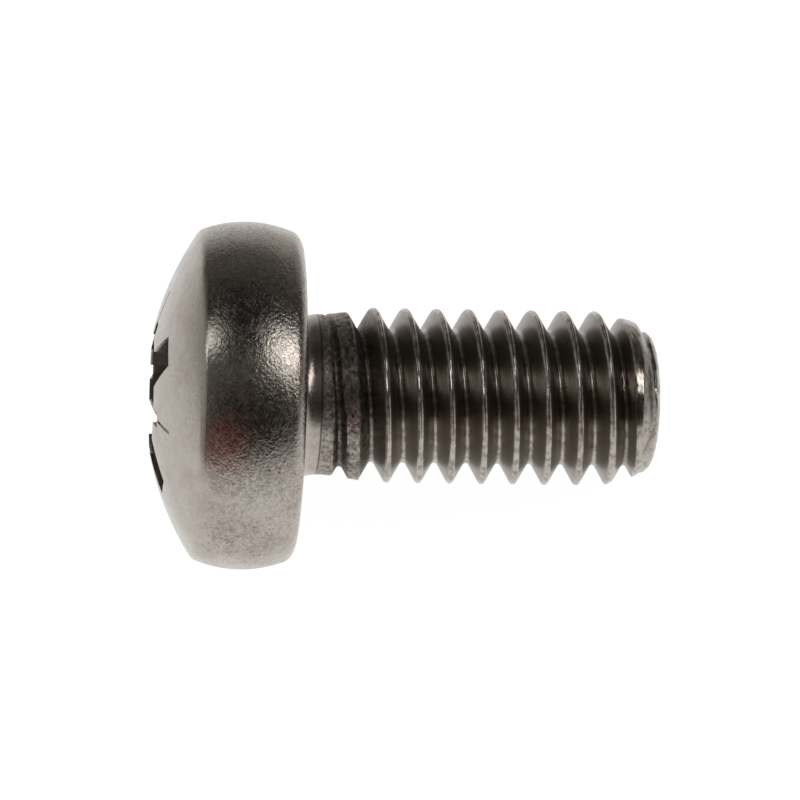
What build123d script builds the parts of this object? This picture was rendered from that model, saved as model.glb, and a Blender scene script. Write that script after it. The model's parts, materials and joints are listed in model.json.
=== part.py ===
"""Pan head machine screw with a cross recess of the ribbed kind, M4 x 0.7, 8 mm long.

The screw is one cold-headed and thread-rolled piece, so it is one solid in one node. It is built upright
on its own axis: local Z runs from the bearing face (z = 0) to the tip, and the head is below z = 0. Local
angles turn from local X, right-handed about local Z. At the end it is laid down as it comes to rest on a
table: the head's rim and the last full thread crest touch z = 0, the tip points to +X, and the origin is
under the middle of its box.

All lengths are in millimetres and angles in degrees.
"""

import math
import os

from build123d import *

# Head: a dome over a barrel-shaped rim, with a rounded corner above the flat bearing face.
HEAD_RADIUS = 3.81
HEAD_HEIGHT = 3.32
RIM_HEIGHT = 1.15  # where the rim is widest, above the bearing face
CREASE_RADIUS = 3.60  # the edge between dome and rim
CREASE_HEIGHT = 2.22
CREASE_ROUND = 0.06
BEARING_RADIUS = 3.18  # the flat part of the bearing face
CORNER_RADIUS = 3.66  # where the corner runs into the rim
CORNER_HEIGHT = 0.30
NECK_FILLET = 0.18
DOME_MIDDLE = 0.55  # share of the crease radius at which the dome's arc has its middle point

# Shank and rolled thread.
LENGTH = 7.87  # bearing face to tip
PITCH = 0.7
CREST_RADIUS = 1.92
NECK_RADIUS = 1.76  # the blank that the thread was rolled on
FLANK_HALF_ANGLE = 30.0
CREST_FLAT = PITCH / 8
ROOT_FLAT = PITCH / 8
THREAD_DEPTH = (PITCH - CREST_FLAT - ROOT_FLAT) / 2 / math.tan(math.radians(FLANK_HALF_ANGLE))
NECK_END = 0.72  # the crest starts to rise here
FULL_CREST_START = 1.45
FULL_CREST_END = 6.87
TIP_SHOULDER_RADIUS = 1.72
TIP_SHOULDER_START = 7.17
TIP_SHOULDER_END = 7.53
TIP_RADIUS = 1.52
GROOVE_AT_X = 2.175  # height at which a groove's middle crosses local X
RUNOUT_START_TURN = -2.45  # turns, counted from that crossing
RUNOUT_END_TURN = -1.45
GROOVE_END_TURN = 8.65
RUNOUT_ROOT_RADIUS = 1.80
CUTTER_CLEARANCE = 0.03  # how far the groove cutter stands above the crest
POINTS_PER_TURN = 36

# Drive recess: a core, four wings, and four small ribs between the wings.
WING_ANGLE = -24.0  # local angle of the first wing
WING_REACH = 2.24  # radius of a wing's outer end, level with the dome
WING_SLOPE = 26.5  # of the outer end, from the axis
WING_HALF_END = 0.36
WING_HALF_ROOT = 0.50
WING_DEPTH = 2.0  # below the dome's top
WING_DRAFT = 0.05  # how much narrower each side is at the bottom
CORE_RADIUS_TOP = 1.40
CORE_RADIUS_BOTTOM = 1.02
CORE_TIP_DEPTH = 2.35
RIB_REACH = 1.74
RIB_HALF_WIDTH = 0.17
RIB_DEPTH = 1.5
RIB_REACH_BOTTOM = 1.08
PUNCH_ABOVE = 0.3  # how far the recess tool stands above the dome
MARK_START = 1.70  # radius at which an identification mark starts
MARK_END = 2.38
MARK_WIDTH = 0.13
MARK_DEPTH = 0.055

REST_ROLL = 45.0  # turn about the screw's own axis as it lies
HEAD_SAMPLES = 100  # steps along each curve of the head's side, where the resting line is looked for
SHANK_SAMPLES = 1000
PARTS = "parts"


def dome_radius():
    """Radius of the sphere through the dome's top and the crease."""
    rise = HEAD_HEIGHT - CREASE_HEIGHT
    return (CREASE_RADIUS**2 + rise**2) / (2 * rise)


def dome_height(radius):
    """Height of the dome above the bearing face, at a distance from the axis."""
    ball = dome_radius()
    return HEAD_HEIGHT - ball + math.sqrt(ball**2 - radius**2)


def head_side():
    """The barrel-shaped side of the head, then the rounded corner that ends at the bearing face."""
    rim = ThreePointArc(
        (CREASE_RADIUS, -CREASE_HEIGHT), (HEAD_RADIUS, -RIM_HEIGHT), (CORNER_RADIUS, -CORNER_HEIGHT)
    )
    return rim, TangentArc(rim @ 1, (BEARING_RADIUS, 0), tangent=rim % 1)


def blank():
    """The whole screw before threading and punching, turned about local Z."""
    middle = CREASE_RADIUS * DOME_MIDDLE
    dome = ThreePointArc(
        (0, -HEAD_HEIGHT), (middle, -dome_height(middle)), (CREASE_RADIUS, -CREASE_HEIGHT)
    )
    rim, corner = head_side()
    below = Polyline(
        corner @ 1,
        (NECK_RADIUS, 0),
        (NECK_RADIUS, NECK_END),
        (CREST_RADIUS, FULL_CREST_START),
        (CREST_RADIUS, FULL_CREST_END),
        (TIP_SHOULDER_RADIUS, TIP_SHOULDER_START),
        (TIP_SHOULDER_RADIUS, TIP_SHOULDER_END),
        (TIP_RADIUS, LENGTH),
        (0, LENGTH),
        (0, -HEAD_HEIGHT),
    )
    section = make_face(Curve() + [dome, rim, corner, below])
    for radius, height, rounding in (
        (NECK_RADIUS, 0, NECK_FILLET),
        (CREASE_RADIUS, -CREASE_HEIGHT, CREASE_ROUND),
    ):
        corner = section.vertices().sort_by_distance(Vector(radius, height, 0))[0]
        section = fillet(corner, rounding)
    return revolve(Plane.XZ * section, Axis.Z)


def root_radius(turn):
    """Radius of the groove's floor: it rises to the neck over the run-out turn."""
    full = CREST_RADIUS - THREAD_DEPTH
    share = (turn - RUNOUT_START_TURN) / (RUNOUT_END_TURN - RUNOUT_START_TURN)
    return RUNOUT_ROOT_RADIUS + (full - RUNOUT_ROOT_RADIUS) * min(max(share, 0), 1)


def groove_corner(turn, side, at_top):
    """A point on one of the groove cutter's four long edges; side is -1 or 1."""
    floor = root_radius(turn)
    top = CREST_RADIUS + CUTTER_CLEARANCE
    radius = top if at_top else floor
    half = ROOT_FLAT / 2 + (radius - floor) * math.tan(math.radians(FLANK_HALF_ANGLE))
    angle = 2 * math.pi * turn
    height = GROOVE_AT_X + PITCH * turn + side * half
    return Vector(radius * math.cos(angle), radius * math.sin(angle), height)


def groove_edge(start, end, side, at_top):
    """One long edge of the cutter between two turns, as an interpolated curve."""
    steps = max(4, math.ceil((end - start) * POINTS_PER_TURN))
    turns = [start + (end - start) * i / steps for i in range(steps + 1)]
    return Edge.make_spline([groove_corner(t, side, at_top) for t in turns], parameters=turns)


def groove_cutter():
    """The helical V groove as a closed solid, made turn by turn from ruled faces."""
    corners = [(-1, False), (1, False), (1, True), (-1, True)]
    stops = [RUNOUT_START_TURN, RUNOUT_END_TURN]
    while stops[-1] + 1 < GROOVE_END_TURN:
        stops.append(stops[-1] + 1)
    stops.append(GROOVE_END_TURN)
    faces = []
    for start, end in zip(stops, stops[1:]):
        edges = [groove_edge(start, end, *corner) for corner in corners]
        for first, second in zip(edges, edges[1:] + edges[:1]):
            faces.append(Face.make_surface_from_curves(first, second))
    for turn in (stops[0], stops[-1]):
        outline = [groove_corner(turn, *corner) for corner in corners]
        faces.append(Face(Wire.make_polygon(outline, close=True)))
    return Solid(Shell(faces))


def tapered_bar(reach_top, reach_bottom, half_root, half_end, depth, draft):
    """A radial bar along local X that narrows downwards: one wing or rib of the punch."""
    sections = []
    for level, reach, shrink in (
        (-HEAD_HEIGHT - PUNCH_ABOVE, reach_top, 0),
        (-HEAD_HEIGHT + depth, reach_bottom, draft),
    ):
        root = half_root - shrink
        end = half_end - shrink
        corners = [(0, -root), (reach, -end), (reach, end), (0, root)]
        sections.append(Wire.make_polygon([Vector(x, y, level) for x, y in corners], close=True))
    return Solid.make_loft(sections, ruled=True)


def around(shape, count, first_angle):
    """Copies of a shape, evenly spaced about local Z."""
    return [Rot(0, 0, first_angle + 360 / count * i) * shape for i in range(count)]


def recess_punch():
    """The solid that the drive recess is the print of."""
    slope = math.tan(math.radians(WING_SLOPE))
    surface_drop = HEAD_HEIGHT - dome_height(WING_REACH)
    wing = tapered_bar(
        reach_top=WING_REACH + (surface_drop + PUNCH_ABOVE) * slope,
        reach_bottom=WING_REACH - (WING_DEPTH - surface_drop) * slope,
        half_root=WING_HALF_ROOT,
        half_end=WING_HALF_END,
        depth=WING_DEPTH,
        draft=WING_DRAFT,
    )
    rib = tapered_bar(
        reach_top=RIB_REACH + (RIB_REACH - RIB_REACH_BOTTOM) * PUNCH_ABOVE / RIB_DEPTH,
        reach_bottom=RIB_REACH_BOTTOM,
        half_root=RIB_HALF_WIDTH,
        half_end=RIB_HALF_WIDTH,
        depth=RIB_DEPTH,
        draft=0.0,
    )
    top = -HEAD_HEIGHT - PUNCH_ABOVE
    floor = -HEAD_HEIGHT + WING_DEPTH
    core_outline = Polyline(
        (0, top),
        (CORE_RADIUS_TOP, top),
        (CORE_RADIUS_BOTTOM, floor),
        (0, -HEAD_HEIGHT + CORE_TIP_DEPTH),
        close=True,
    )
    punch = revolve(Plane.XZ * make_face(core_outline), Axis.Z)
    punch += around(wing, 4, WING_ANGLE)
    punch += around(rib, 4, WING_ANGLE + 45)
    return punch


def identification_marks():
    """Four shallow radial grooves on the dome, one between each pair of wings."""
    length = MARK_END - MARK_START
    middle = (MARK_START + MARK_END) / 2
    lean = math.degrees(math.asin(middle / dome_radius()))
    sketch = make_face(
        Polyline(
            (-MARK_WIDTH, -MARK_WIDTH),
            (MARK_WIDTH, -MARK_WIDTH),
            (0, MARK_DEPTH),
            close=True,
        )
    )
    bar = extrude(Plane.YZ * sketch, length / 2, both=True)
    place = Pos(middle, 0, -dome_height(middle)) * Rot(0, -lean, 0)
    return around(place * bar, 4, WING_ANGLE + 45)


def make_screw():
    """The finished screw on its own axis."""
    screw = blank() - recess_punch()
    screw -= identification_marks()
    return screw - groove_cutter()


def outline_radius(height):
    """Radius of the threaded shank along its underside, with the groove and the taper."""
    taper = (height - FULL_CREST_END) / (TIP_SHOULDER_START - FULL_CREST_END)
    crest = CREST_RADIUS + (TIP_SHOULDER_RADIUS - CREST_RADIUS) * min(max(taper, 0), 1)
    groove = GROOVE_AT_X + PITCH * (180 - REST_ROLL) / 360
    from_groove = abs((height - groove + PITCH / 2) % PITCH - PITCH / 2)
    flank = (from_groove - ROOT_FLAT / 2) / math.tan(math.radians(FLANK_HALF_ANGLE))
    return min(crest, CREST_RADIUS - THREAD_DEPTH + max(flank, 0))


def rest_tilt():
    """Slope of the line below the screw that first touches both the head and a thread crest."""
    head_points = [
        curve @ (i / HEAD_SAMPLES) for curve in head_side() for i in range(HEAD_SAMPLES + 1)
    ]
    reach = TIP_SHOULDER_END - FULL_CREST_START
    shank_heights = [
        FULL_CREST_START + reach * i / SHANK_SAMPLES for i in range(SHANK_SAMPLES + 1)
    ]
    return min(
        max(
            math.degrees(math.atan2(p.X - outline_radius(height), height - p.Y))
            for p in head_points
        )
        for height in shank_heights
    )


def laid_down(screw):
    """The screw lying on z = 0 with its tip towards +X, over the origin."""
    lying = Rot(0, 90 + rest_tilt(), 0) * Rot(0, 0, REST_ROLL - 180) * screw
    box = lying.bounding_box()
    return Pos(-(box.min.X + box.max.X) / 2, -(box.min.Y + box.max.Y) / 2, -box.min.Z) * lying


os.makedirs(PARTS, exist_ok=True)
export_step(laid_down(make_screw()), os.path.join(PARTS, "screw.step"))
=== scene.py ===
"""Looks of a pan head machine screw: a cold-headed head with a ribbed cross recess, and a rolled thread.

The screw is shaped upright on its own axis, in millimetres: Z runs from the bearing face (z = 0) to the tip,
and the head is below z = 0. The finished mesh is then laid down where the frame says, in metres.
"""

import json
import math

import bmesh
import bpy
import numpy as np
from mathutils import Matrix, Vector, noise


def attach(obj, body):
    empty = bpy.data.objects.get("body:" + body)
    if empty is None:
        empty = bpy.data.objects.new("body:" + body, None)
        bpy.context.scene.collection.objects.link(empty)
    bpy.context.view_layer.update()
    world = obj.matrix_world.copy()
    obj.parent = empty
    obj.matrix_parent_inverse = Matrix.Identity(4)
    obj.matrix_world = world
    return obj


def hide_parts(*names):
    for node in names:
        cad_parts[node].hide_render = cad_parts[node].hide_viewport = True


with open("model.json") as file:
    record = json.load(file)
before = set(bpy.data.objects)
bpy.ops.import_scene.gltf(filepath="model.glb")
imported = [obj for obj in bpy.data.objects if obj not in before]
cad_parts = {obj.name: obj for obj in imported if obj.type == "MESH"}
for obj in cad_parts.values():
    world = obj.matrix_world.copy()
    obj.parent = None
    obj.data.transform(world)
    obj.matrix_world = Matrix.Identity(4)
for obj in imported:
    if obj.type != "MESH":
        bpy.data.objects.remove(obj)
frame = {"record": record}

bl_info = {
    "name": "Pan Head Machine Screw",
    "version": (1, 0, 0),
    "blender": (4, 5, 0),
    "location": "View3D > Sidebar > Screw",
    "description": "Models a pan head machine screw with a ribbed cross recess, its finish and its stage",
    "category": "Add Mesh",
}

NODE = "screw"
BODY = "root"
MILLIMETRE = 0.001
TURN = 2 * math.pi


def mount(name):
    """The place and direction of one of the record's mounts."""
    entry = next(m for m in frame["record"]["mounts"] if m["name"] == name)
    return Vector(entry["pos_m"]), Vector(entry["axis"]).normalized()


# ------------------------------------------------------------------------------------------------ settings


def length(name, millimetres, description):
    """A length property, stored in metres and given in millimetres."""
    return bpy.props.FloatProperty(
        name=name,
        description=description,
        default=millimetres * MILLIMETRE,
        unit="LENGTH",
        precision=6,
    )


def angle(name, degrees, description):
    """An angle property, given in degrees."""
    return bpy.props.FloatProperty(
        name=name, description=description, default=math.radians(degrees), subtype="ANGLE"
    )


def amount(name, default, description, high=1.0):
    """A plain number from zero up."""
    return bpy.props.FloatProperty(
        name=name, description=description, default=default, min=0.0, max=high
    )


def colour(name, default, description):
    """A colour property."""
    return bpy.props.FloatVectorProperty(
        name=name, description=description, default=default, subtype="COLOR", min=0.0, max=1.0
    )


class HeadSettings(bpy.types.PropertyGroup):
    """Sizes of the pan head."""

    height: length("Height", 3.32, "Bearing face to the dome's top")
    radius: length("Radius", 3.81, "Widest radius of the rim")
    rim_height: length("Rim height", 1.15, "Where the rim is widest, above the bearing face")
    crease_radius: length("Crease radius", 3.60, "Edge between the dome and the rim")
    crease_height: length("Crease height", 2.22, "Height of that edge above the bearing face")
    corner_radius: length("Corner radius", 3.66, "Where the rim turns into the lower corner")
    corner_height: length("Corner height", 0.30, "Height of that place above the bearing face")
    bearing_radius: length("Bearing radius", 3.18, "Outer radius of the flat bearing face")
    neck_fillet: length("Neck fillet", 0.26, "Rounding between the bearing face and the neck")
    lean: angle("Lean", -0.66, "How far the head leans on the shank, about local X")
    nod: angle("Nod", 1.0, "How far the head leans on the shank, about local Y")
    offset: length("Offset", 0.035, "How far the head sits off the screw's axis")


class RecessSettings(bpy.types.PropertyGroup):
    """Sizes of the drive recess."""

    turn: angle("Turn", -24.0, "Angle of the first wing about the screw's axis")
    reach: length("Reach", 2.24, "Radius of a wing's outer end")
    slope: angle("Slope", 26.5, "Slope of a wing's outer end from the axis")
    half_end: length("Half end", 0.36, "Half of a wing's width at its outer end")
    half_root: length("Half root", 0.50, "Half of a wing's width at the middle")
    draft: length("Draft", 0.05, "How much narrower each side is at the bottom")
    depth: length("Depth", 2.0, "Depth of the wings below the dome's top")
    core_top: length("Core top", 1.40, "Radius of the core at the top")
    core_bottom: length("Core bottom", 1.02, "Radius of the core at the bottom")
    core_tip: length("Core tip", 2.35, "Depth of the core's pointed floor")
    rib_reach: length("Rib reach", 1.74, "Radius of a rib's outer end")
    rib_bottom: length("Rib bottom", 1.08, "Radius of a rib's outer end at its foot")
    rib_half: length("Rib half width", 0.17, "Half of a rib's width")
    rib_depth: length("Rib depth", 1.5, "Depth of the ribs")
    mark_start: length("Mark start", 1.70, "Inner radius of an identification mark")
    mark_end: length("Mark end", 2.38, "Outer radius of an identification mark")
    mark_width: length("Mark width", 0.080, "Width of an identification mark")
    mark_depth: length("Mark depth", 0.040, "Depth of an identification mark")
    edge: length("Edge rounding", 0.045, "Rounding of the recess's mouth")


class ThreadSettings(bpy.types.PropertyGroup):
    """Sizes of the shank and its rolled thread."""

    reach: length("Length", 7.87, "Bearing face to tip")
    pitch: length("Pitch", 0.7, "Distance between neighbouring crests")
    crest: length("Crest radius", 1.92, "Radius over the crests")
    neck: length("Neck radius", 1.76, "Radius of the plain neck")
    rounding: length("Rounding", 0.0758, "Radius of the rounded root and crest")
    groove_at_x: length("Groove place", 2.175, "Height at which a groove's middle crosses local X")
    half_angle: angle("Flank angle", 30.0, "Half of the angle between two flanks")
    wear: length("Crest wear", 0.020, "How uneven the rolled crests are")
    offset: length("Offset", -0.030, "How far the shank sits off the screw's axis")


class FinishSettings(bpy.types.PropertyGroup):
    """Colours and textures of the steel."""

    steel: colour("Steel", (0.50, 0.458, 0.412), "Bare steel")
    stain: colour("Stain", (0.33, 0.25, 0.21), "Warm stain left by forming oil")
    # This dark colour marks residue in pits and grooves, and it is also painted into the drive recess as
    # shade.
    grime_and_shade: colour("Grime", (0.10, 0.085, 0.07), "Dark residue in pits and grooves")
    roughness: amount("Roughness", 0.20, "Roughness of the smooth steel")
    tumbling: amount("Tumbling", 1.0, "Strength of the tumbled texture", high=3.0)


class StageSettings(bpy.types.PropertyGroup):
    """Floor, lamps and camera."""

    floor_colour: colour("Floor", (0.34, 0.34, 0.34), "Colour that takes the shadow")
    floor_glow: amount("Floor glow", 0.96, "How white the floor looks where no lamp reaches")
    falloff: length("Floor falloff", 50.0, "Distance over which the reflected floor grows dimmer")
    side_lamp: amount("Side lamp", 3.0, "Brightness of the lamp on the tip's side", high=50.0)
    top_lamp: amount("Top lamp", 1.7, "Brightness of the lamp overhead", high=50.0)
    distance: length("Camera distance", 110.0, "Camera to the middle of the view")
    lens: amount("Lens", 225.2, "Focal length in millimetres", high=1000.0)


def settings(name):
    """One of the property groups, as it is set on the scene."""
    return getattr(bpy.context.scene, name)


def mm(value):
    """A stored length in the millimetres that the screw is shaped in."""
    return value / MILLIMETRE


# ------------------------------------------------------------------------------------------------ hand tools


def deselect_all():
    """Leaves object mode with nothing selected."""
    if bpy.context.mode != "OBJECT":
        bpy.ops.object.mode_set(mode="OBJECT")
    bpy.ops.object.select_all(action="DESELECT")


def pick(obj):
    """Makes one object selected and active."""
    deselect_all()
    obj.select_set(True)
    bpy.context.view_layer.objects.active = obj


def edit(obj, mode="VERT"):
    """Enters edit mode on one object with nothing selected."""
    pick(obj)
    bpy.ops.object.mode_set(mode="EDIT")
    bpy.ops.mesh.select_mode(type=mode)
    bpy.ops.mesh.select_all(action="DESELECT")
    return bmesh.from_edit_mesh(obj.data)


def leave():
    """Back to object mode."""
    bpy.ops.object.mode_set(mode="OBJECT")


def select(obj, elements):
    """Selects some vertices, edges or faces of the mesh in edit mode."""
    for element in elements:
        element.select_set(True)
    bmesh.update_edit_mesh(obj.data)


def apply(obj, kind, **values):
    """Adds a modifier with these values and applies it."""
    pick(obj)
    modifier = obj.modifiers.new(kind.lower(), kind)
    for key, value in values.items():
        setattr(modifier, key, value)
    bpy.ops.object.modifier_apply(modifier=modifier.name)


def draw_chain(name, points):
    """A chain of edges through (radius, height) points in the XZ plane, drawn by extruding one vertex."""
    deselect_all()
    bpy.ops.mesh.primitive_plane_add(size=1)
    chain = bpy.context.object
    chain.name = name
    bpy.ops.object.mode_set(mode="EDIT")
    bpy.ops.mesh.select_mode(type="VERT")
    bpy.ops.mesh.select_all(action="SELECT")
    bpy.ops.mesh.merge(type="CENTER")
    bpy.ops.transform.translate(value=(points[0][0], 0, points[0][1]))
    for start, end in zip(points, points[1:]):
        step = (end[0] - start[0], 0, end[1] - start[1])
        bpy.ops.mesh.extrude_region_move(TRANSFORM_OT_translate={"value": step})
    leave()
    return chain


def arc(start, through, end, count):
    """Points along the circle through three (radius, height) points, from the first to the last."""
    (ax, ay), (bx, by), (cx, cy) = start, through, end
    d = 2 * (ax * (by - cy) + bx * (cy - ay) + cx * (ay - by))
    ux = ((ax**2 + ay**2) * (by - cy) + (bx**2 + by**2) * (cy - ay) + (cx**2 + cy**2) * (ay - by)) / d
    uy = ((ax**2 + ay**2) * (cx - bx) + (bx**2 + by**2) * (ax - cx) + (cx**2 + cy**2) * (bx - ax)) / d
    radius = math.hypot(ax - ux, ay - uy)
    first = math.atan2(ay - uy, ax - ux)
    middle = (math.atan2(by - uy, bx - ux) - first + math.pi) % TURN - math.pi
    sweep = (math.atan2(cy - uy, cx - ux) - first + math.pi) % TURN - math.pi
    if sweep * middle < 0:
        sweep -= math.copysign(TURN, sweep)
    angles = [first + sweep * i / count for i in range(count + 1)]
    return [(ux + radius * math.cos(a), uy + radius * math.sin(a)) for a in angles]


# ------------------------------------------------------------------------------------------------ head


def dome_ball(head):
    """Radius of the sphere through the dome's top and the crease."""
    rise = mm(head.height - head.crease_height)
    return (mm(head.crease_radius) ** 2 + rise**2) / (2 * rise)


def dome_level(head, radius):
    """Local height of the dome's surface, at a distance from the axis."""
    ball = dome_ball(head)
    return ball - mm(head.height) - math.sqrt(ball**2 - radius**2)


NECK_END = 0.38  # local height at which the head's neck ends
NECK_JOIN = 0.48  # local height at which the threaded shank starts
HEAD_STEPS = 144  # steps around the head
CREASE_BLEND = 0.09  # how far the crease's rounding reaches to each side
CORNER_BULGE = 0.091  # how far the lower corner swells past a straight bevel, outwards and downwards
MERGE = 1e-4  # points closer than this are one


def head_outline(head, neck_radius):
    """The head's half outline from the dome's top to the neck, with a rounded crease."""
    crease = (mm(head.crease_radius), -mm(head.crease_height))
    widest = (mm(head.radius), -mm(head.rim_height))
    corner = (mm(head.corner_radius), -mm(head.corner_height))
    bearing = (mm(head.bearing_radius), 0.0)
    fillet = mm(head.neck_fillet)
    dome = [(r, dome_level(head, r)) for r in np.linspace(0, crease[0], 19)]
    rim = arc(crease, widest, corner, 22)
    bulge = (Vector(corner) + Vector(bearing)) / 2 + Vector((CORNER_BULGE, CORNER_BULGE))
    corner_arc = arc(corner, tuple(bulge), bearing, 10)
    flat = [(r, 0.0) for r in np.linspace(bearing[0], neck_radius + fillet, 6)]
    under_head = [
        (neck_radius + fillet * (1 - math.sin(a)), fillet * (1 - math.cos(a)))
        for a in np.linspace(0, math.pi / 2, 6)
    ]
    dome_and_rim = soften(dome[:-1] + [crease] + rim[1:], crease)
    neck = [(neck_radius, z) for z in np.linspace(fillet, NECK_END, 3)]
    return dome_and_rim + corner_arc[1:] + flat[1:] + under_head[1:] + neck[1:]


def soften(points, crease):
    """Replaces the sharp crease by a short round."""
    index = points.index(crease)
    before = Vector(points[index - 1]) - Vector(crease)
    after = Vector(points[index + 1]) - Vector(crease)
    first = Vector(crease) + before.normalized() * CREASE_BLEND
    last = Vector(crease) + after.normalized() * CREASE_BLEND
    blend = [
        tuple(first * (1 - t) ** 2 + Vector(crease) * 2 * t * (1 - t) + last * t**2)
        for t in np.linspace(0, 1, 5)
    ]
    return points[:index] + blend + points[index + 1 :]


def make_head(head, thread):
    """The head without its recess, spun from its outline and closed at the neck."""
    outline = draw_chain("head", head_outline(head, mm(thread.neck)))
    edit(outline)
    bpy.ops.mesh.select_all(action="SELECT")
    bpy.ops.mesh.spin(steps=HEAD_STEPS, angle=TURN, center=(0, 0, 0), axis=(0, 0, 1))
    bpy.ops.mesh.select_all(action="SELECT")
    bpy.ops.mesh.remove_doubles(threshold=MERGE)
    mesh = bmesh.from_edit_mesh(outline.data)
    bpy.ops.mesh.select_all(action="DESELECT")
    select(outline, [e for e in mesh.edges if e.is_boundary])
    bpy.ops.mesh.edge_face_add()
    bpy.ops.mesh.select_all(action="SELECT")
    bpy.ops.mesh.normals_make_consistent(inside=False)
    leave()
    return outline


# ------------------------------------------------------------------------------------------------ recess

PUNCH_ABOVE = 0.3  # how far the punch stands out over the dome's top
CORE_STEPS = 48  # steps around the core
MARK_FOOT = 0.12  # how narrow a mark is at its foot, against its width
ON_DOME = 0.02  # a face nearer than this to the dome's sphere belongs to the dome
ALONG_DOME = 0.97  # and its normal keeps this much of the sphere's


def tapered_bar(name, levels):
    """A radial bar along local X; each of its two levels is (height, reach, half root, half end)."""
    deselect_all()
    bpy.ops.mesh.primitive_cube_add(size=2)
    bar = bpy.context.object
    bar.name = name
    for vertex in bar.data.vertices:
        height, reach, root, end = levels[vertex.co.z > 0]
        outer = vertex.co.x > 0
        side = math.copysign(end if outer else root, vertex.co.y)
        vertex.co = (reach if outer else 0.0, side, height)
    return bar


def copies_around(obj, first, count=4):
    """Turned copies of an object about local Z, each with its own mesh."""
    copies = []
    for i in range(count):
        pick(obj)
        bpy.ops.object.duplicate()
        copy = bpy.context.object
        copy.data.transform(Matrix.Rotation(first + TURN / count * i, 4, "Z"))
        copies.append(copy)
    bpy.data.objects.remove(obj)
    return copies


def make_core(head, recess, top):
    """The round middle of the punch, with its pointed foot."""
    floor = mm(recess.depth) - mm(head.height)
    tip = mm(recess.core_tip) - mm(head.height)
    outline = [(0, tip), (mm(recess.core_bottom), floor), (mm(recess.core_top), top), (0, top)]
    core = draw_chain("core", outline)
    edit(core)
    bpy.ops.mesh.select_all(action="SELECT")
    bpy.ops.mesh.spin(steps=CORE_STEPS, angle=TURN, center=(0, 0, 0), axis=(0, 0, 1))
    bpy.ops.mesh.select_all(action="SELECT")
    bpy.ops.mesh.remove_doubles(threshold=MERGE)
    bpy.ops.mesh.normals_make_consistent(inside=False)
    leave()
    return core




def punch_pieces(head, recess):
    """All the solids whose print is the recess: core, wings and ribs."""
    above = -mm(head.height) - PUNCH_ABOVE
    slope = math.tan(recess.slope)
    reach, depth = mm(recess.reach), mm(recess.depth)
    drop = dome_level(head, reach) + mm(head.height)
    foot = depth - mm(head.height)
    root, end, draft = mm(recess.half_root), mm(recess.half_end), mm(recess.draft)
    wing = tapered_bar(
        "wing",
        [
            (above, reach + (drop + PUNCH_ABOVE) * slope, root, end),
            (foot, reach - (depth - drop) * slope, root - draft, end - draft),
        ],
    )
    rib_reach, rib_bottom, rib_half = mm(recess.rib_reach), mm(recess.rib_bottom), mm(recess.rib_half)
    rib_depth = mm(recess.rib_depth)
    flare = (rib_reach - rib_bottom) * PUNCH_ABOVE / rib_depth
    rib = tapered_bar(
        "rib",
        [
            (above, rib_reach + flare, rib_half, rib_half),
            (rib_depth - mm(head.height), rib_bottom, rib_half, rib_half),
        ],
    )
    wings = copies_around(wing, recess.turn)
    ribs = copies_around(rib, recess.turn + TURN / 8)
    return [make_core(head, recess, above), *wings, *ribs]


def mark_pieces(head, recess):
    """The four small ridges whose print is an identification mark between two wings."""
    start, end = mm(recess.mark_start), mm(recess.mark_end)
    width, depth = mm(recess.mark_width), mm(recess.mark_depth)
    deselect_all()
    bpy.ops.mesh.primitive_cube_add(size=2)
    mark = bpy.context.object
    mark.name = "mark"
    for vertex in mark.data.vertices:
        radius = end if vertex.co.x > 0 else start
        deep = vertex.co.z > 0
        side = math.copysign(width * (MARK_FOOT if deep else 1.0), vertex.co.y)
        level = dome_level(head, radius) + (depth if deep else -width)
        vertex.co = (radius, side, level)
    return copies_around(mark, recess.turn + TURN / 8)


def cut(obj, tools):
    """Takes the tools' shapes out of an object."""
    for tool in tools:
        apply(obj, "BOOLEAN", object=tool, operation="DIFFERENCE", solver="EXACT")
        bpy.data.objects.remove(tool)


def on_dome(head, face):
    """Whether a face lies on the dome's sphere."""
    ball = dome_ball(head)
    centre = Vector((0, 0, ball - mm(head.height)))
    away = face.calc_center_median() - centre
    return abs(away.length - ball) < ON_DOME and away.normalized().dot(face.normal) > ALONG_DOME


def round_mouth(obj, head, recess):
    """Rounds the edge where the recess meets the dome."""
    mesh = edit(obj, "EDGE")
    mesh.normal_update()
    mouth = []
    for edge in mesh.edges:
        sides = [on_dome(head, face) for face in edge.link_faces]
        middle = (edge.verts[0].co + edge.verts[1].co) / 2
        if sides.count(True) == 1 and math.hypot(middle.x, middle.y) < mm(recess.reach) + 0.2:
            mouth.append(edge)
    select(obj, mouth)
    bpy.ops.mesh.bevel(offset=mm(recess.edge), segments=3, profile=0.5, clamp_overlap=True)
    leave()


def drop_neck_cap(obj):
    """Opens the neck again, where the shank goes on."""
    mesh = edit(obj, "FACE")
    select(obj, [f for f in mesh.faces if all(abs(v.co.z - NECK_END) < MERGE for v in f.verts)])
    bpy.ops.mesh.delete(type="FACE")
    leave()


# ------------------------------------------------------------------------------------------------ thread

THREAD_STEPS = 144  # steps around one turn
FIRST_TURN = 3  # turns of the chain before the groove that crosses local X
TURNS = 12
RUNOUT_START = -2.45  # where the groove starts, in turns from where it crosses local X
RUNOUT_END = -1.45  # where it has its full depth
RUNOUT_ROOT = 1.80  # radius of the groove's bottom where it starts
CREST_SHAPE = ((0.010, 0.0), (0.0, 0.022), (0.016, 0.046))  # depth under the crest, and place past its middle
FLANK_TOP = (0.045, 0.070)
FLANK_STEPS = 5

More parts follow.
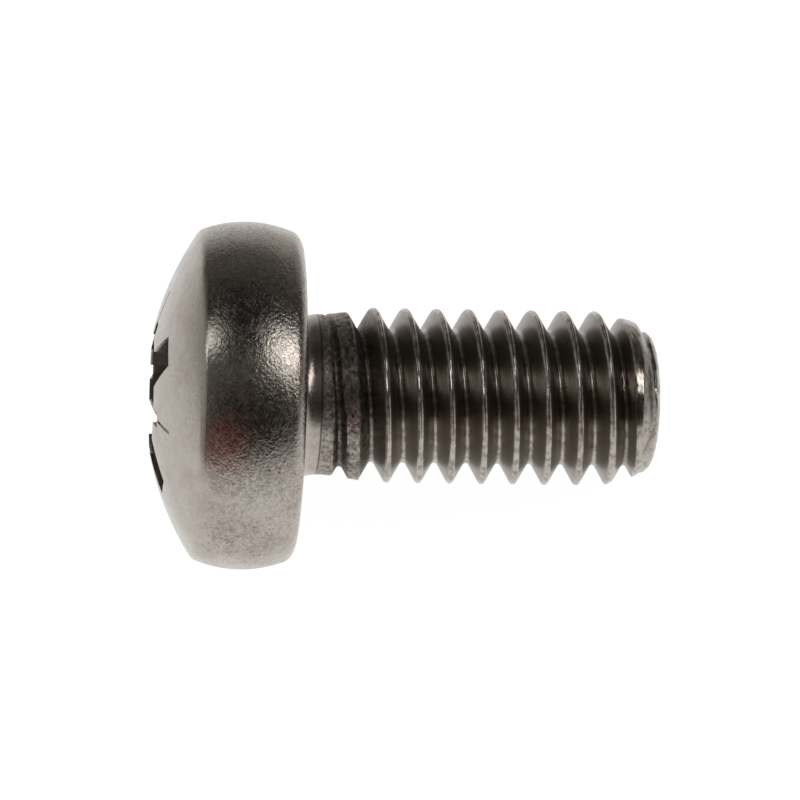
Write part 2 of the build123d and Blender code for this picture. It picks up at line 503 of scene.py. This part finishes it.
# how the shank's outer radius runs from the bearing face to past the tip
SHANK_STATIONS = (
    (0.0, 1.76), (0.60, 1.76), (0.95, 1.80), (1.30, 1.86), (1.65, 1.925), (6.79, 1.925), (7.10, 1.79),
    (7.30, 1.745), (7.44, 1.715), (7.58, 1.59), (7.70, 1.53), (7.78, 1.46), (7.84, 1.33), (7.88, 1.17),
    (9.0, 1.10),
)
CREST_ZONE = 0.08  # depth over which the crests are uneven
HIGHEST_BURR = 0.006  # how far an uneven crest may stand out
TIP_SLANT = 0.06  # how much fuller one side of the tip is
TIP_SLANT_START, TIP_SLANT_END = 7.35, 7.65
TIP_RINGS = ((0.95, 0.0), (0.86, -0.012), (0.62, -0.05), (0.34, -0.07))  # share of the radius, and rise


def thread_profile(thread):
    """One pitch of the thread from crest to crest, with round roots and flattened crests."""
    pitch, rounding = mm(thread.pitch), mm(thread.rounding)
    flank = math.pi / 2 - thread.half_angle
    root = root_radius(thread)
    points = [(mm(thread.crest) - depth, place - pitch / 2) for depth, place in CREST_SHAPE]
    start = (mm(thread.crest) - FLANK_TOP[0], FLANK_TOP[1] - pitch / 2)
    end = (root + rounding * (1 - math.cos(flank)), -rounding * math.sin(flank))
    points += [
        (start[0] + (end[0] - start[0]) * i / FLANK_STEPS, start[1] + (end[1] - start[1]) * i / FLANK_STEPS)
        for i in range(FLANK_STEPS + 1)
    ]
    points += [
        (root + rounding * (1 - math.cos(a)), rounding * math.sin(a)) for a in (-flank / 2, 0.0)
    ]
    mirrored = [(r, -z) for r, z in reversed(points[:-1])]
    return points + mirrored


def root_radius(thread):
    """Radius of the rounded root's lowest point."""
    pitch, rounding = mm(thread.pitch), mm(thread.rounding)
    sharp_depth = pitch / 2 / math.tan(thread.half_angle)
    overhang = rounding * (1 / math.sin(thread.half_angle) - 1)
    return mm(thread.crest) - sharp_depth + 2 * overhang


def ramp(value, low, high):
    """Goes from 0 to 1 while a value goes from low to high, which may also be downwards."""
    return np.clip((value - low) / (high - low), 0, 1)


def shank_outline(height, side):
    """Outer radius of the shank at a height; the tip is fuller on one side."""
    heights, radii = zip(*SHANK_STATIONS)
    slant = TIP_SLANT * side * ramp(height, TIP_SLANT_START, TIP_SLANT_END)
    return np.interp(height, heights, radii) + slant


def lattice(points, scale, seed):
    """Smooth noise from -1 to 1 at some points."""
    shift = Vector((seed * 7.3, seed * 3.1, seed * 5.7))
    return np.array([noise.noise(Vector(p) * scale + shift) for p in points])


def make_shank(thread):
    """The threaded shank: one pitch swept along its helix, faded at both ends and trimmed."""
    pitch = mm(thread.pitch)
    start = mm(thread.groove_at_x) - pitch * FIRST_TURN
    chain = draw_chain("shank", [(r, z + start) for r, z in thread_profile(thread)])
    apply(
        chain,
        "SCREW",
        axis="Z",
        angle=TURN,
        screw_offset=pitch,
        iterations=TURNS,
        steps=THREAD_STEPS,
        render_steps=THREAD_STEPS,
        use_merge_vertices=True,
        merge_threshold=MERGE,
    )
    edit(chain)
    bpy.ops.mesh.select_all(action="SELECT")
    bpy.ops.mesh.remove_doubles(threshold=1e-3)
    leave()
    fade_thread(chain, thread)
    for height, keep_tip in ((NECK_JOIN, True), (mm(thread.reach), False)):
        edit(chain)
        bpy.ops.mesh.select_all(action="SELECT")
        bpy.ops.mesh.bisect(
            plane_co=(0, 0, height),
            plane_no=(0, 0, 1),
            clear_inner=keep_tip,
            clear_outer=not keep_tip,
            threshold=1e-5,
        )
        leave()
    close_tip(chain, thread)
    return chain


def store(obj, name, values):
    """Stores a number on each vertex, for the finish to read."""
    layer = obj.data.attributes.new(name, "FLOAT", "POINT")
    layer.data.foreach_set("value", values.astype(np.float32))


def fade_thread(obj, thread):
    """Shapes the run-out, the tapered tip and the uneven crests by moving points in and out."""
    pitch = mm(thread.pitch)
    count = len(obj.data.vertices)
    places = np.empty(count * 3)
    obj.data.vertices.foreach_get("co", places)
    places = places.reshape(-1, 3)
    x, y, z = places.T
    radius = np.hypot(x, y)
    around = np.arctan2(y, x)
    turns = np.round((z - mm(thread.groove_at_x)) / pitch - around / TURN) + around / TURN
    lift = (RUNOUT_ROOT - root_radius(thread)) * (1 - ramp(turns, RUNOUT_START, RUNOUT_END))
    outline = shank_outline(z, np.sin(around))
    rough = lattice(places, 5.0, 1) * 0.5 + lattice(places, 14.0, 2) * 0.5
    target = np.minimum(radius + lift, outline)
    near_crest = ramp(target, mm(thread.crest) - CREST_ZONE, mm(thread.crest))
    runout = ramp(z, 1.75, 1.25) * ramp(z, 0.55, 0.75)
    tip = ramp(z, 6.7, 7.1)
    worn = mm(thread.wear) * rough * (near_crest + 1.1 * runout + 0.8 * tip)
    target += np.minimum(worn, HIGHEST_BURR) * ramp(z, 0.55, 0.70)
    depth = mm(thread.crest) - root_radius(thread)
    store(obj, "groove", ramp(outline - target, 0, depth))
    places[:, 0] = target * np.cos(around)
    places[:, 1] = target * np.sin(around)
    obj.data.vertices.foreach_set("co", places.ravel())
    obj.data.update()


def close_tip(obj, thread):
    """Closes the tip with a slightly hollow end face."""
    side_count = len(obj.data.vertices)
    mesh = edit(obj, "EDGE")
    top = mm(thread.reach)
    select(obj, [e for e in mesh.edges if e.is_boundary and min(v.co.z for v in e.verts) > top - 0.01])
    share, level = 1.0, 0.0
    for ring, rise in TIP_RINGS:
        bpy.ops.mesh.extrude_edges_move(TRANSFORM_OT_translate={"value": (0, 0, rise - level)})
        bpy.ops.transform.resize(value=(ring / share, ring / share, 1), center_override=(0, 0, top))
        share, level = ring, rise
    bpy.ops.mesh.edge_face_add()
    bpy.ops.mesh.poke()
    leave()
    for end_vertex in obj.data.attributes["groove"].data[side_count:]:
        end_vertex.value = 0.0


# ------------------------------------------------------------------------------------------------ whole screw

LOWEST_ANGLE = math.radians(135)  # local angle of the side that the screw lies on
SMOOTH_ANGLE = math.radians(32)  # edges that turn more than this stay hard


def join(parts, name):
    """Joins objects into one."""
    pick(parts[0])
    for part in parts[1:]:
        part.select_set(True)
    bpy.ops.object.join()
    parts[0].name = parts[0].data.name = name
    return parts[0]


def seat_head(obj, head, thread):
    """Leans the head and sets it off the axis a little; its neck runs over to the shank."""
    turned = Matrix.Rotation(head.lean, 4, "X") @ Matrix.Rotation(head.nod, 4, "Y")
    leaning = Matrix.Translation((0, mm(head.offset), 0)) @ turned
    with_shank = Matrix.Translation((0, mm(thread.offset), 0))
    for vertex in obj.data.vertices:
        share = min(max(vertex.co.z / NECK_END, 0), 1)
        vertex.co = (leaning @ vertex.co).lerp(with_shank @ vertex.co, share)


def bridge_neck(obj):
    """Joins the head's neck ring to the shank's."""
    mesh = edit(obj, "EDGE")
    select(obj, [e for e in mesh.edges if e.is_boundary])
    bpy.ops.mesh.bridge_edge_loops()
    bpy.ops.mesh.select_all(action="SELECT")
    bpy.ops.mesh.remove_doubles(threshold=MERGE)
    bpy.ops.mesh.normals_make_consistent(inside=False)
    leave()


def mark_regions(obj, head):
    """Stores where the steel is tumbled and where it is rough."""
    places = np.empty(len(obj.data.vertices) * 3)
    obj.data.vertices.foreach_get("co", places)
    z = places.reshape(-1, 3)[:, 2]
    runout = ramp(z, 0.40, 0.46) * ramp(z, 1.70, 1.35)
    tip = 0.25 * ramp(z, 7.35, 7.50)
    neck = ramp(z, 0.10, 0.30) * ramp(z, 0.42, 0.38)
    store(obj, "rough", runout + tip + 0.45 * neck)
    on_shank = 0.12 + 0.9 * runout + tip + 0.15 * ramp(z, 0.45, 0.35)
    on_head = 0.34 + 0.66 * ramp(z, -mm(head.crease_height), 0.25 - mm(head.crease_height))
    store(obj, "tumbled", np.where(z > 0.05, on_shank, on_head))


def screw_place(head):
    """Where the screw's own frame lies: Z towards the tip, local X on the side that faces up and forwards."""
    axis = mount("bearing_face")[1]
    top = mount("drive_recess")[0]
    origin = top + axis * head.height
    down = (Vector((0, 0, -1)) + axis * axis.z).normalized()
    local_x = Matrix.Rotation(-LOWEST_ANGLE, 3, axis) @ down
    local_y = axis.cross(local_x)
    turned = Matrix((local_x, local_y, axis)).transposed().to_4x4()
    return Matrix.Translation(origin) @ turned


def lay_down(obj, head):
    """Scales the screw to metres, lays it where the frame has it, just touching the floor."""
    obj.matrix_world = screw_place(head) @ Matrix.Scale(MILLIMETRE, 4)
    pick(obj)
    bpy.ops.object.transform_apply(location=True, rotation=True, scale=True)
    lowest = min(vertex.co.z for vertex in obj.data.vertices)
    obj.data.transform(Matrix.Translation((0, 0, -lowest)))


def smooth(obj):
    """Smooth shading that keeps hard edges."""
    pick(obj)
    bpy.ops.object.shade_smooth_by_angle(angle=SMOOTH_ANGLE)


def make_screw():
    """The finished screw, riding on the frame in place of the plain solid."""
    head, recess, thread = settings("screw_head"), settings("screw_recess"), settings("screw_thread")
    body = make_head(head, thread)
    cut(body, punch_pieces(head, recess))
    round_mouth(body, head, recess)
    cut(body, mark_pieces(head, recess))
    drop_neck_cap(body)
    seat_head(body, head, thread)
    shank = make_shank(thread)
    shank.data.transform(Matrix.Translation((0, mm(thread.offset), 0)))
    screw = join([body, shank], "pan_head_screw")
    bridge_neck(screw)
    mark_regions(screw, head)
    smooth(screw)
    lay_down(screw, head)
    screw.data.materials.clear()
    screw.data.materials.append(steel_finish(settings("screw_finish"), head))
    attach(screw, BODY)
    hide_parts(NODE)
    return screw


# ------------------------------------------------------------------------------------------------ finish

SCUFF_TURNS = (0.75, -0.35)  # slants of the two families of scuffs about local X, in radians
SCUFF_TWIST = 0.2
SCUFF_SIZE = (0.12, 0.22, 0.045)  # millimetres
SEAM_HEIGHT = 0.41  # where the dies' edge left a line around the neck
RECESS_LEVEL = -0.8  # the recess lies wholly on the head's side of this height
BUMP_STRENGTH = 0.24
BUMP_DEPTH = 0.03  # millimetres


def new_group(name, inputs, outputs):
    """An empty shader node group with named sockets."""
    group = bpy.data.node_groups.new(name, "ShaderNodeTree")
    for label, kind, default in inputs:
        socket = group.interface.new_socket(label, in_out="INPUT", socket_type=kind)
        if default is not None:
            socket.default_value = default
    for label, kind in outputs:
        group.interface.new_socket(label, in_out="OUTPUT", socket_type=kind)
    return group


def add(tree, kind, values=None, **links):
    """Adds a node; values sets its fields or its inputs, links joins its inputs to sockets."""
    node = tree.nodes.new(kind)
    for key, value in (values or {}).items():
        if hasattr(node, key):
            setattr(node, key, value)
        else:
            node.inputs[key].default_value = value
    for key, socket in links.items():
        tree.links.new(socket, node.inputs[key])
    return node


def math_node(tree, operation, first, second=None):
    """A Math node on two sockets or numbers, giving its output."""
    node = tree.nodes.new("ShaderNodeMath")
    node.operation = operation
    for index, value in enumerate((first, second)):
        if value is None:
            continue
        if isinstance(value, (int, float)):
            node.inputs[index].default_value = value
        else:
            tree.links.new(value, node.inputs[index])
    return node.outputs[0]


def plus(tree, *values):
    """The sum of sockets or numbers."""
    total = values[0]
    for value in values[1:]:
        total = math_node(tree, "ADD", total, value)
    return total


def times(tree, *values):
    """The product of sockets or numbers."""
    total = values[0]
    for value in values[1:]:
        total = math_node(tree, "MULTIPLY", total, value)
    return total


def map_range(tree, value, low, high, to_low=0.0, to_high=1.0):
    """Rescales a value, with its ends held."""
    node = tree.nodes.new("ShaderNodeMapRange")
    tree.links.new(value, node.inputs["Value"])
    for key, number in (("From Min", low), ("From Max", high), ("To Min", to_low), ("To Max", to_high)):
        node.inputs[key].default_value = number
    return node.outputs["Result"]


def noise_value(tree, vector, scale, detail=2.0, rough=0.5, distortion=0.0):
    """A Noise Texture's value."""
    values = {"Scale": scale, "Detail": detail, "Roughness": rough, "Distortion": distortion}
    return add(tree, "ShaderNodeTexNoise", values, Vector=vector).outputs["Fac"]


def axis_distance(tree, x, y):
    """Distance from the screw's axis."""
    squares = plus(tree, math_node(tree, "POWER", x, 2.0), math_node(tree, "POWER", y, 2.0))
    return math_node(tree, "SQRT", squares)


def scuffed_height(tree, vector, turn):
    """Height of fine slanted scuffs, long one way and narrow across."""
    values = {"vector_type": "TEXTURE", "Rotation": (turn, SCUFF_TWIST, 0.0), "Scale": SCUFF_SIZE}
    stretched = add(tree, "ShaderNodeMapping", values, Vector=vector).outputs["Vector"]
    return noise_value(tree, stretched, 1.0, detail=2.0, rough=0.55, distortion=0.3)


def tumbled_steel_group():
    """Dimples, scuffs, pits and short cracks that tumbling leaves, in the screw's own millimetres."""
    group = new_group(
        "tumbled steel",
        [("Vector", "NodeSocketVector", None), ("Amount", "NodeSocketFloat", 1.0)],
        [(label, "NodeSocketFloat") for label in ("Height", "Pits", "Cavities", "Scuffs")],
    )
    start, end = group.nodes.new("NodeGroupInput"), group.nodes.new("NodeGroupOutput")
    vector, strength = start.outputs["Vector"], start.outputs["Amount"]

    dimples = noise_value(group, vector, 14.0, detail=3.0, rough=0.55, distortion=0.4)
    dimples = map_range(group, dimples, 0.36, 0.66)
    slanted = [scuffed_height(group, vector, turn) for turn in SCUFF_TURNS]
    scuffs = math_node(group, "MAXIMUM", *(map_range(group, height, 0.50, 0.70) for height in slanted))

    cells = add(group, "ShaderNodeTexVoronoi", {"Scale": 7.0, "Randomness": 1.0}, Vector=vector)
    sparse = map_range(group, noise_value(group, vector, 3.1, detail=1.0), 0.46, 0.60)
    pits = times(group, map_range(group, cells.outputs["Distance"], 0.26, 0.12), sparse)
    winding = noise_value(group, vector, 5.5, detail=3.0, rough=0.65, distortion=1.2)
    ridge = math_node(group, "ABSOLUTE", math_node(group, "SUBTRACT", winding, 0.5))
    broken = map_range(group, noise_value(group, vector, 6.0, detail=2.0, distortion=0.3), 0.42, 0.56)
    cracks = times(group, map_range(group, ridge, 0.034, 0.010), broken)

    height = plus(group, times(group, dimples, 0.55), times(group, plus(group, *slanted), 0.55))
    height = math_node(group, "SUBTRACT", height, times(group, pits, 0.4))
    results = {
        "Height": height,
        "Pits": math_node(group, "MAXIMUM", pits, cracks),
        "Cavities": map_range(group, dimples, 0.80, 0.10),
        "Scuffs": scuffs,
    }
    for label, value in results.items():
        group.links.new(times(group, value, strength), end.inputs[label])
    return group


def rolled_streaks_group():
    """Fine streaks that run around the axis, as thread dies leave them."""
    group = new_group(
        "rolled streaks", [("Vector", "NodeSocketVector", None)], [("Streaks", "NodeSocketFloat")]
    )
    start, end = group.nodes.new("NodeGroupInput"), group.nodes.new("NodeGroupOutput")
    x, y, z = add(group, "ShaderNodeSeparateXYZ", Vector=start.outputs["Vector"]).outputs
    radius = axis_distance(group, x, y)
    turned = [math_node(group, "DIVIDE", value, radius) for value in (x, y)]
    around = group.nodes.new("ShaderNodeCombineXYZ")
    group.links.new(plus(group, turned[0], times(group, z, 0.8)), around.inputs["X"])
    group.links.new(turned[1], around.inputs["Y"])
    group.links.new(times(group, radius, 30.0), around.inputs["Z"])
    streaks = noise_value(group, around.outputs["Vector"], 1.0, detail=3.0, rough=0.6)
    group.links.new(streaks, end.inputs["Streaks"])
    return group


def attribute(tree, name):
    """A stored value of the mesh."""
    node = tree.nodes.new("ShaderNodeAttribute")
    node.attribute_name = name
    return node.outputs["Fac"]


def mix_colour(tree, factor, first, second):
    """Mixes two colours or sockets."""
    node = tree.nodes.new("ShaderNodeMix")
    node.data_type = "RGBA"
    tree.links.new(factor, node.inputs["Factor"])
    for key, value in (("A", first), ("B", second)):
        socket = [s for s in node.inputs if s.name == key and s.type == "RGBA"][0]
        if isinstance(value, bpy.types.NodeSocket):
            tree.links.new(value, socket)
        else:
            socket.default_value = (*value, 1.0)
    return [s for s in node.outputs if s.type == "RGBA"][0]


def distance_to(tree, vector, point):
    """Distance from a vector socket to a fixed point."""
    node = add(tree, "ShaderNodeVectorMath", {"operation": "DISTANCE"})
    tree.links.new(vector, node.inputs[0])
    node.inputs[1].default_value = point
    return node.outputs["Value"]


def recess_shade_mask(tree, vector, head):
    """One where the surface lies below the dome's sphere, inside the drive recess, where the finish paints
    shade.
    """
    ball = dome_ball(head)
    away = distance_to(tree, vector, (0, 0, ball - mm(head.height)))
    below = map_range(tree, away, ball - 0.015, ball - 0.07)
    x, y, z = add(tree, "ShaderNodeSeparateXYZ", Vector=vector).outputs
    middle = map_range(tree, axis_distance(tree, x, y), 2.7, 2.6)
    head_side = map_range(tree, z, RECESS_LEVEL, RECESS_LEVEL - 0.1)
    return times(tree, below, middle, head_side)


def residue_and_shade_mask(tree, vector, flank, groove, rough, recess):
    """Dark residue on the flanks, scuffed crests, run-out and neck and along the seam, and painted shade in
    the recess.
    """
    polished_root = map_range(tree, groove, 0.90, 0.96, 1.0, 0.10)
    scuffed = map_range(tree, noise_value(tree, vector, 6.0, detail=3.0), 0.42, 0.62, 0.05, 0.60)
    on_crest = times(tree, scuffed, map_range(tree, groove, 0.0, 0.004))
    thread = math_node(tree, "MAXIMUM", times(tree, flank, polished_root), on_crest)
    gritty = map_range(tree, noise_value(tree, vector, 9.0, detail=3.0, distortion=0.4), 0.44, 0.60)
    grit = times(tree, plus(tree, times(tree, gritty, 0.48), 0.08), rough)
    height = add(tree, "ShaderNodeSeparateXYZ", Vector=vector).outputs["Z"]
    off_seam = math_node(tree, "ABSOLUTE", math_node(tree, "SUBTRACT", height, SEAM_HEIGHT))
    seam = times(tree, map_range(tree, off_seam, 0.030, 0.012), 0.85)
    residue = math_node(tree, "MAXIMUM", plus(tree, thread, grit), seam)
    # painted shade: the drive recess is darkened towards the dark colour
    return math_node(tree, "MAXIMUM", residue, times(tree, recess, 0.70))


def own_millimetres(tree, head):
    """The surface's place in the screw's own frame, in millimetres."""
    own = screw_place(head).inverted()
    values = {
        "Scale": (1 / MILLIMETRE,) * 3,
        "Rotation": own.to_euler(),
        "Location": own.translation / MILLIMETRE,
    }
    coordinates = tree.nodes.new("ShaderNodeTexCoord").outputs["Object"]
    return add(tree, "ShaderNodeMapping", values, Vector=coordinates).outputs["Vector"]


def steel_finish(finish, head):
    """Warm stainless steel, tumbled on the rim, smoother on the dome, with residue in the thread and painted
    shade in the recess.
    """
    material = bpy.data.materials.new("stainless_steel")
    material.use_nodes = True
    tree = material.node_tree
    shader = tree.nodes["Principled BSDF"]
    vector = own_millimetres(tree, head)
    tumbled, groove, rough = (attribute(tree, name) for name in ("tumbled", "groove", "rough"))
    patches = map_range(tree, noise_value(tree, vector, 0.55, detail=1.0), 0.34, 0.56, 0.60, 1.0)
    strength = times(tree, tumbled, patches)
    texture = add(
        tree, "ShaderNodeGroup", {"node_tree": tumbled_steel_group()}, Vector=vector, Amount=strength
    ).outputs
    streaks = add(tree, "ShaderNodeGroup", {"node_tree": rolled_streaks_group()}, Vector=vector)
    flank = map_range(tree, groove, 0.04, 0.15, 0.0, 0.58)
    # where the drive recess gets painted shade
    recess = recess_shade_mask(tree, vector, head)

    stain = noise_value(tree, vector, 0.8, detail=5.0, rough=0.68)
    base = mix_colour(tree, map_range(tree, stain, 0.46, 0.76, 0.0, 0.60), finish.steel, finish.stain)
    marks = times(tree, texture["Pits"], 0.88), times(tree, texture["Cavities"], 0.36)
    base = mix_colour(tree, math_node(tree, "MAXIMUM", *marks), base, finish.grime_and_shade)
    # residue on the thread, and painted shade in the recess
    residue = residue_and_shade_mask(tree, vector, flank, groove, rough, recess)
    base = mix_colour(tree, residue, base, finish.grime_and_shade)
    tree.links.new(base, shader.inputs["Base Color"])

    # painted shade: inside the recess the steel loses its metal and most of its shine, so it looks dark
    outside_recess_shade = math_node(tree, "SUBTRACT", 1.0, times(tree, recess, 0.92))
    tree.links.new(outside_recess_shade, shader.inputs["Metallic"])
    tree.links.new(times(tree, outside_recess_shade, 0.5), shader.inputs["Specular IOR Level"])
    matt = plus(
        tree,
        times(tree, noise_value(tree, vector, 1.7, detail=2.0), 0.12),
        times(tree, texture["Scuffs"], 0.19),
        times(tree, flank, 0.16),
        times(tree, rough, 0.15),
        finish.roughness - 0.06,
    )
    tree.links.new(matt, shader.inputs["Roughness"])

    height = plus(tree, texture["Height"], times(tree, streaks.outputs["Streaks"], groove, 0.5))
    values = {"Strength": BUMP_STRENGTH * finish.tumbling, "Distance": BUMP_DEPTH * MILLIMETRE}
    bump = add(tree, "ShaderNodeBump", values, Height=height)
    tree.links.new(bump.outputs["Normal"], shader.inputs["Normal"])
    return material


# ------------------------------------------------------------------------------------------------ stage

TILT_AWAY = math.radians(5.9)  # how far the tip points away from the camera
IMAGE_SLOPE = math.radians(0.85)  # how far the shank slopes down to the right in the view
AIM = (2.277, 0.049)  # millimetres along the axis and across it, from the bearing face to the view's middle
FLOOR_SIZE = 4.0
DIM_FROM, DIM_TO = 0.006, 0.022  # metres along X over which the mirrored floor grows dimmer past the tip
DIM_FLOOR = 0.40  # and how bright it still is there
FAR_FLOOR = 0.42  # how bright the distant floor looks in reflections, against the floor close by


def make_floor(stage):
    """A wide pale floor that looks white and keeps the screw's soft shadow."""
    deselect_all()
    bpy.ops.mesh.primitive_plane_add(size=FLOOR_SIZE, location=(0, 0, 0))
    floor = bpy.context.object
    floor.name = "floor"
    material = bpy.data.materials.new("pale_floor")
    material.use_nodes = True
    tree = material.node_tree
    tree.nodes.clear()
    out = tree.nodes.new("ShaderNodeOutputMaterial")
    diffuse = add(tree, "ShaderNodeBsdfDiffuse", {"Color": (*stage.floor_colour, 1.0)})
    glow = add(tree, "ShaderNodeEmission", {"Color": (1.0, 1.0, 1.0, 1.0)})
    rays = tree.nodes.new("ShaderNodeLightPath").outputs
    place = add(tree, "ShaderNodeTexCoord").outputs["Object"]
    away = math_node(tree, "DIVIDE", distance_to(tree, place, (0, 0, 0)), stage.falloff)
    near = math_node(tree, "DIVIDE", 1.0 - FAR_FLOOR, plus(tree, away, 1.0))
    sideways = add(tree, "ShaderNodeSeparateXYZ", Vector=place).outputs["X"]
    past_tip = map_range(tree, sideways, DIM_FROM, DIM_TO, 1.0, DIM_FLOOR)
    fading = times(tree, plus(tree, near, FAR_FLOOR), past_tip)
    mirrored = math_node(tree, "MAXIMUM", rays["Is Glossy Ray"], rays["Is Transmission Ray"])
    seen = math_node(tree, "MAXIMUM", rays["Is Camera Ray"], times(tree, mirrored, fading))
    tree.links.new(times(tree, seen, stage.floor_glow), glow.inputs["Strength"])
    both = tree.nodes.new("ShaderNodeAddShader")
    tree.links.new(diffuse.outputs[0], both.inputs[0])
    tree.links.new(glow.outputs[0], both.inputs[1])
    tree.links.new(both.outputs[0], out.inputs["Surface"])
    floor.data.materials.append(material)


# the room's colours over the screw, from the front's horizon (0) over the top (0.5) to the back's (1)
ROOM_TONES = (
    (0.001, (0.040, 0.036, 0.034)),
    (0.20, (0.024, 0.022, 0.021)),
    (0.33, (0.100, 0.095, 0.090)),
    (0.40, (0.100, 0.095, 0.090)),
    (0.46, (0.016, 0.015, 0.015)),
    (0.62, (0.016, 0.015, 0.015)),
    (0.76, (0.095, 0.090, 0.085)),
    (0.90, (0.105, 0.100, 0.092)),
    (0.95, (0.500, 0.490, 0.470)),
    (0.999, (0.560, 0.550, 0.530)),
)
CARD_DIRECTION = Vector((-0.34, -0.92, 0.14))
CARD_TONE = (0.23, 0.070, 0.044)
LEFT_WALL_TONE = (0.42, 0.41, 0.39)
RIGHT_WALL_TONE = (0.050, 0.046, 0.046)

LAMP_DISTANCE = 0.5
# direction, size in metres, and tint
SIDE_LAMP = ((0.77, -0.20, 0.60), (0.16, 0.34), (1.0, 0.985, 0.97))
TOP_LAMP = ((-0.45, -0.02, 0.89), (0.10, 0.26), (0.98, 1.0, 0.99))


def make_room():
    """A dim studio: pale low down behind and on the left, dark above and right, a warm card in front."""
    world = bpy.data.worlds.new("studio")
    bpy.context.scene.world = world
    world.use_nodes = True
    tree = world.node_tree
    background = tree.nodes["Background"]
    direction = tree.nodes.new("ShaderNodeTexCoord").outputs["Generated"]
    x, y, z = add(tree, "ShaderNodeSeparateXYZ", Vector=direction).outputs
    over = math_node(tree, "ARCTAN2", z, times(tree, y, -1.0))
    sky = tree.nodes.new("ShaderNodeValToRGB")
    tree.links.new(math_node(tree, "DIVIDE", over, math.pi), sky.inputs["Fac"])
    stops = sky.color_ramp.elements
    for place, tone in ROOM_TONES:
        stop = stops.new(place)
        stop.color = (*tone, 1.0)
    stops.remove(stops[0])
    stops.remove(stops[-1])
    tone = mix_colour(tree, map_range(tree, x, -0.45, -0.85), sky.outputs["Color"], LEFT_WALL_TONE)
    behind_tip = times(tree, map_range(tree, x, 0.66, 0.84), map_range(tree, y, -0.15, 0.15))
    tone = mix_colour(tree, behind_tip, tone, RIGHT_WALL_TONE)
    near_card = map_range(tree, distance_to(tree, direction, CARD_DIRECTION), 0.39, 0.24)
    tone = mix_colour(tree, near_card, tone, CARD_TONE)
    tree.links.new(tone, background.inputs["Color"])


def make_lamp(name, brightness, direction, size, tint):
    """A rectangular soft lamp that faces the origin; brightness is the lamp's own radiance."""
    direction = Vector(direction).normalized()
    light = bpy.data.lights.new(name, "AREA")
    light.shape = "RECTANGLE"
    light.size, light.size_y = size
    light.energy = brightness * math.pi * size[0] * size[1]
    light.color = tint
    lamp = bpy.data.objects.new(name, light)
    bpy.context.scene.collection.objects.link(lamp)
    facing = direction.to_track_quat("Z", "Y").to_matrix().to_4x4()
    lamp.matrix_world = Matrix.Translation(direction * LAMP_DISTANCE) @ facing


def make_camera(stage, head):
    """A long lens that looks across the screw from above, with the shank almost level in the view."""
    place = screw_place(head)
    near, across, axis = (place.to_3x3().col[i].normalized() for i in range(3))
    toward = (near * math.cos(TILT_AWAY) - axis * math.sin(TILT_AWAY)).normalized()
    level = (axis - toward * axis.dot(toward)).normalized()
    right = level * math.cos(IMAGE_SLOPE) + toward.cross(level) * math.sin(IMAGE_SLOPE)
    up = toward.cross(right)
    aim = place.translation + (axis * AIM[0] + across * AIM[1]) * MILLIMETRE
    camera = bpy.data.objects.new("camera", bpy.data.cameras.new("camera"))
    bpy.context.scene.collection.objects.link(camera)
    camera.data.sensor_width = 36.0
    camera.data.lens = stage.lens
    camera.data.clip_start = 0.001
    turned = Matrix((right, up, toward)).transposed().to_4x4()
    camera.matrix_world = Matrix.Translation(aim + toward * stage.distance) @ turned
    bpy.context.scene.camera = camera


def make_stage():
    """Floor, room, lamps and camera."""
    stage = settings("screw_stage")
    make_floor(stage)
    make_room()
    make_lamp("side_lamp", stage.side_lamp, *SIDE_LAMP)
    make_lamp("top_lamp", stage.top_lamp, *TOP_LAMP)
    make_camera(stage, settings("screw_head"))
    bpy.context.scene.view_settings.view_transform = "Standard"


# ------------------------------------------------------------------------------------------------ add-on


class MESH_OT_pan_head_screw_add(bpy.types.Operator):
    """Model the screw with its recess, thread and finish"""

    bl_idname = "mesh.pan_head_screw_add"
    bl_label = "Add Pan Head Screw"

    def execute(self, context):
        """Makes the screw."""
        make_screw()
        return {"FINISHED"}


class SCENE_OT_screw_stage_add(bpy.types.Operator):
    """Set up the pale floor, the soft lamps and the camera"""

    bl_idname = "scene.screw_stage_add"
    bl_label = "Add Stage"

    def execute(self, context):
        """Makes the stage."""
        make_stage()
        return {"FINISHED"}


SETTINGS = {
    "screw_head": HeadSettings,
    "screw_recess": RecessSettings,
    "screw_thread": ThreadSettings,
    "screw_finish": FinishSettings,
    "screw_stage": StageSettings,
}


class VIEW3D_PT_screw(bpy.types.Panel):
    """Settings and buttons for the screw"""

    bl_label = "Pan Head Screw"
    bl_idname = "VIEW3D_PT_screw"
    bl_space_type = "VIEW_3D"
    bl_region_type = "UI"
    bl_category = "Screw"

    def draw(self, context):
        """Lists each group's settings, then the buttons."""
        for name, group in SETTINGS.items():
            box = self.layout.box()
            box.label(text=group.__doc__)
            for key in group.__annotations__:
                box.prop(getattr(context.scene, name), key)
        self.layout.operator(MESH_OT_pan_head_screw_add.bl_idname)
        self.layout.operator(SCENE_OT_screw_stage_add.bl_idname)


CLASSES = (*SETTINGS.values(), MESH_OT_pan_head_screw_add, SCENE_OT_screw_stage_add, VIEW3D_PT_screw)


def register():
    """Registers the classes and puts the settings on the scene."""
    for cls in CLASSES:
        bpy.utils.register_class(cls)
    for name, group in SETTINGS.items():
        setattr(bpy.types.Scene, name, bpy.props.PointerProperty(type=group))


def unregister():
    """Takes the settings and classes away again."""
    for name in SETTINGS:
        delattr(bpy.types.Scene, name)
    for cls in reversed(CLASSES):
        bpy.utils.unregister_class(cls)


def main():
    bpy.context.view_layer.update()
    register()
    bpy.ops.mesh.pan_head_screw_add()
    bpy.ops.scene.screw_stage_add()


if __name__ == "__main__":
    main()
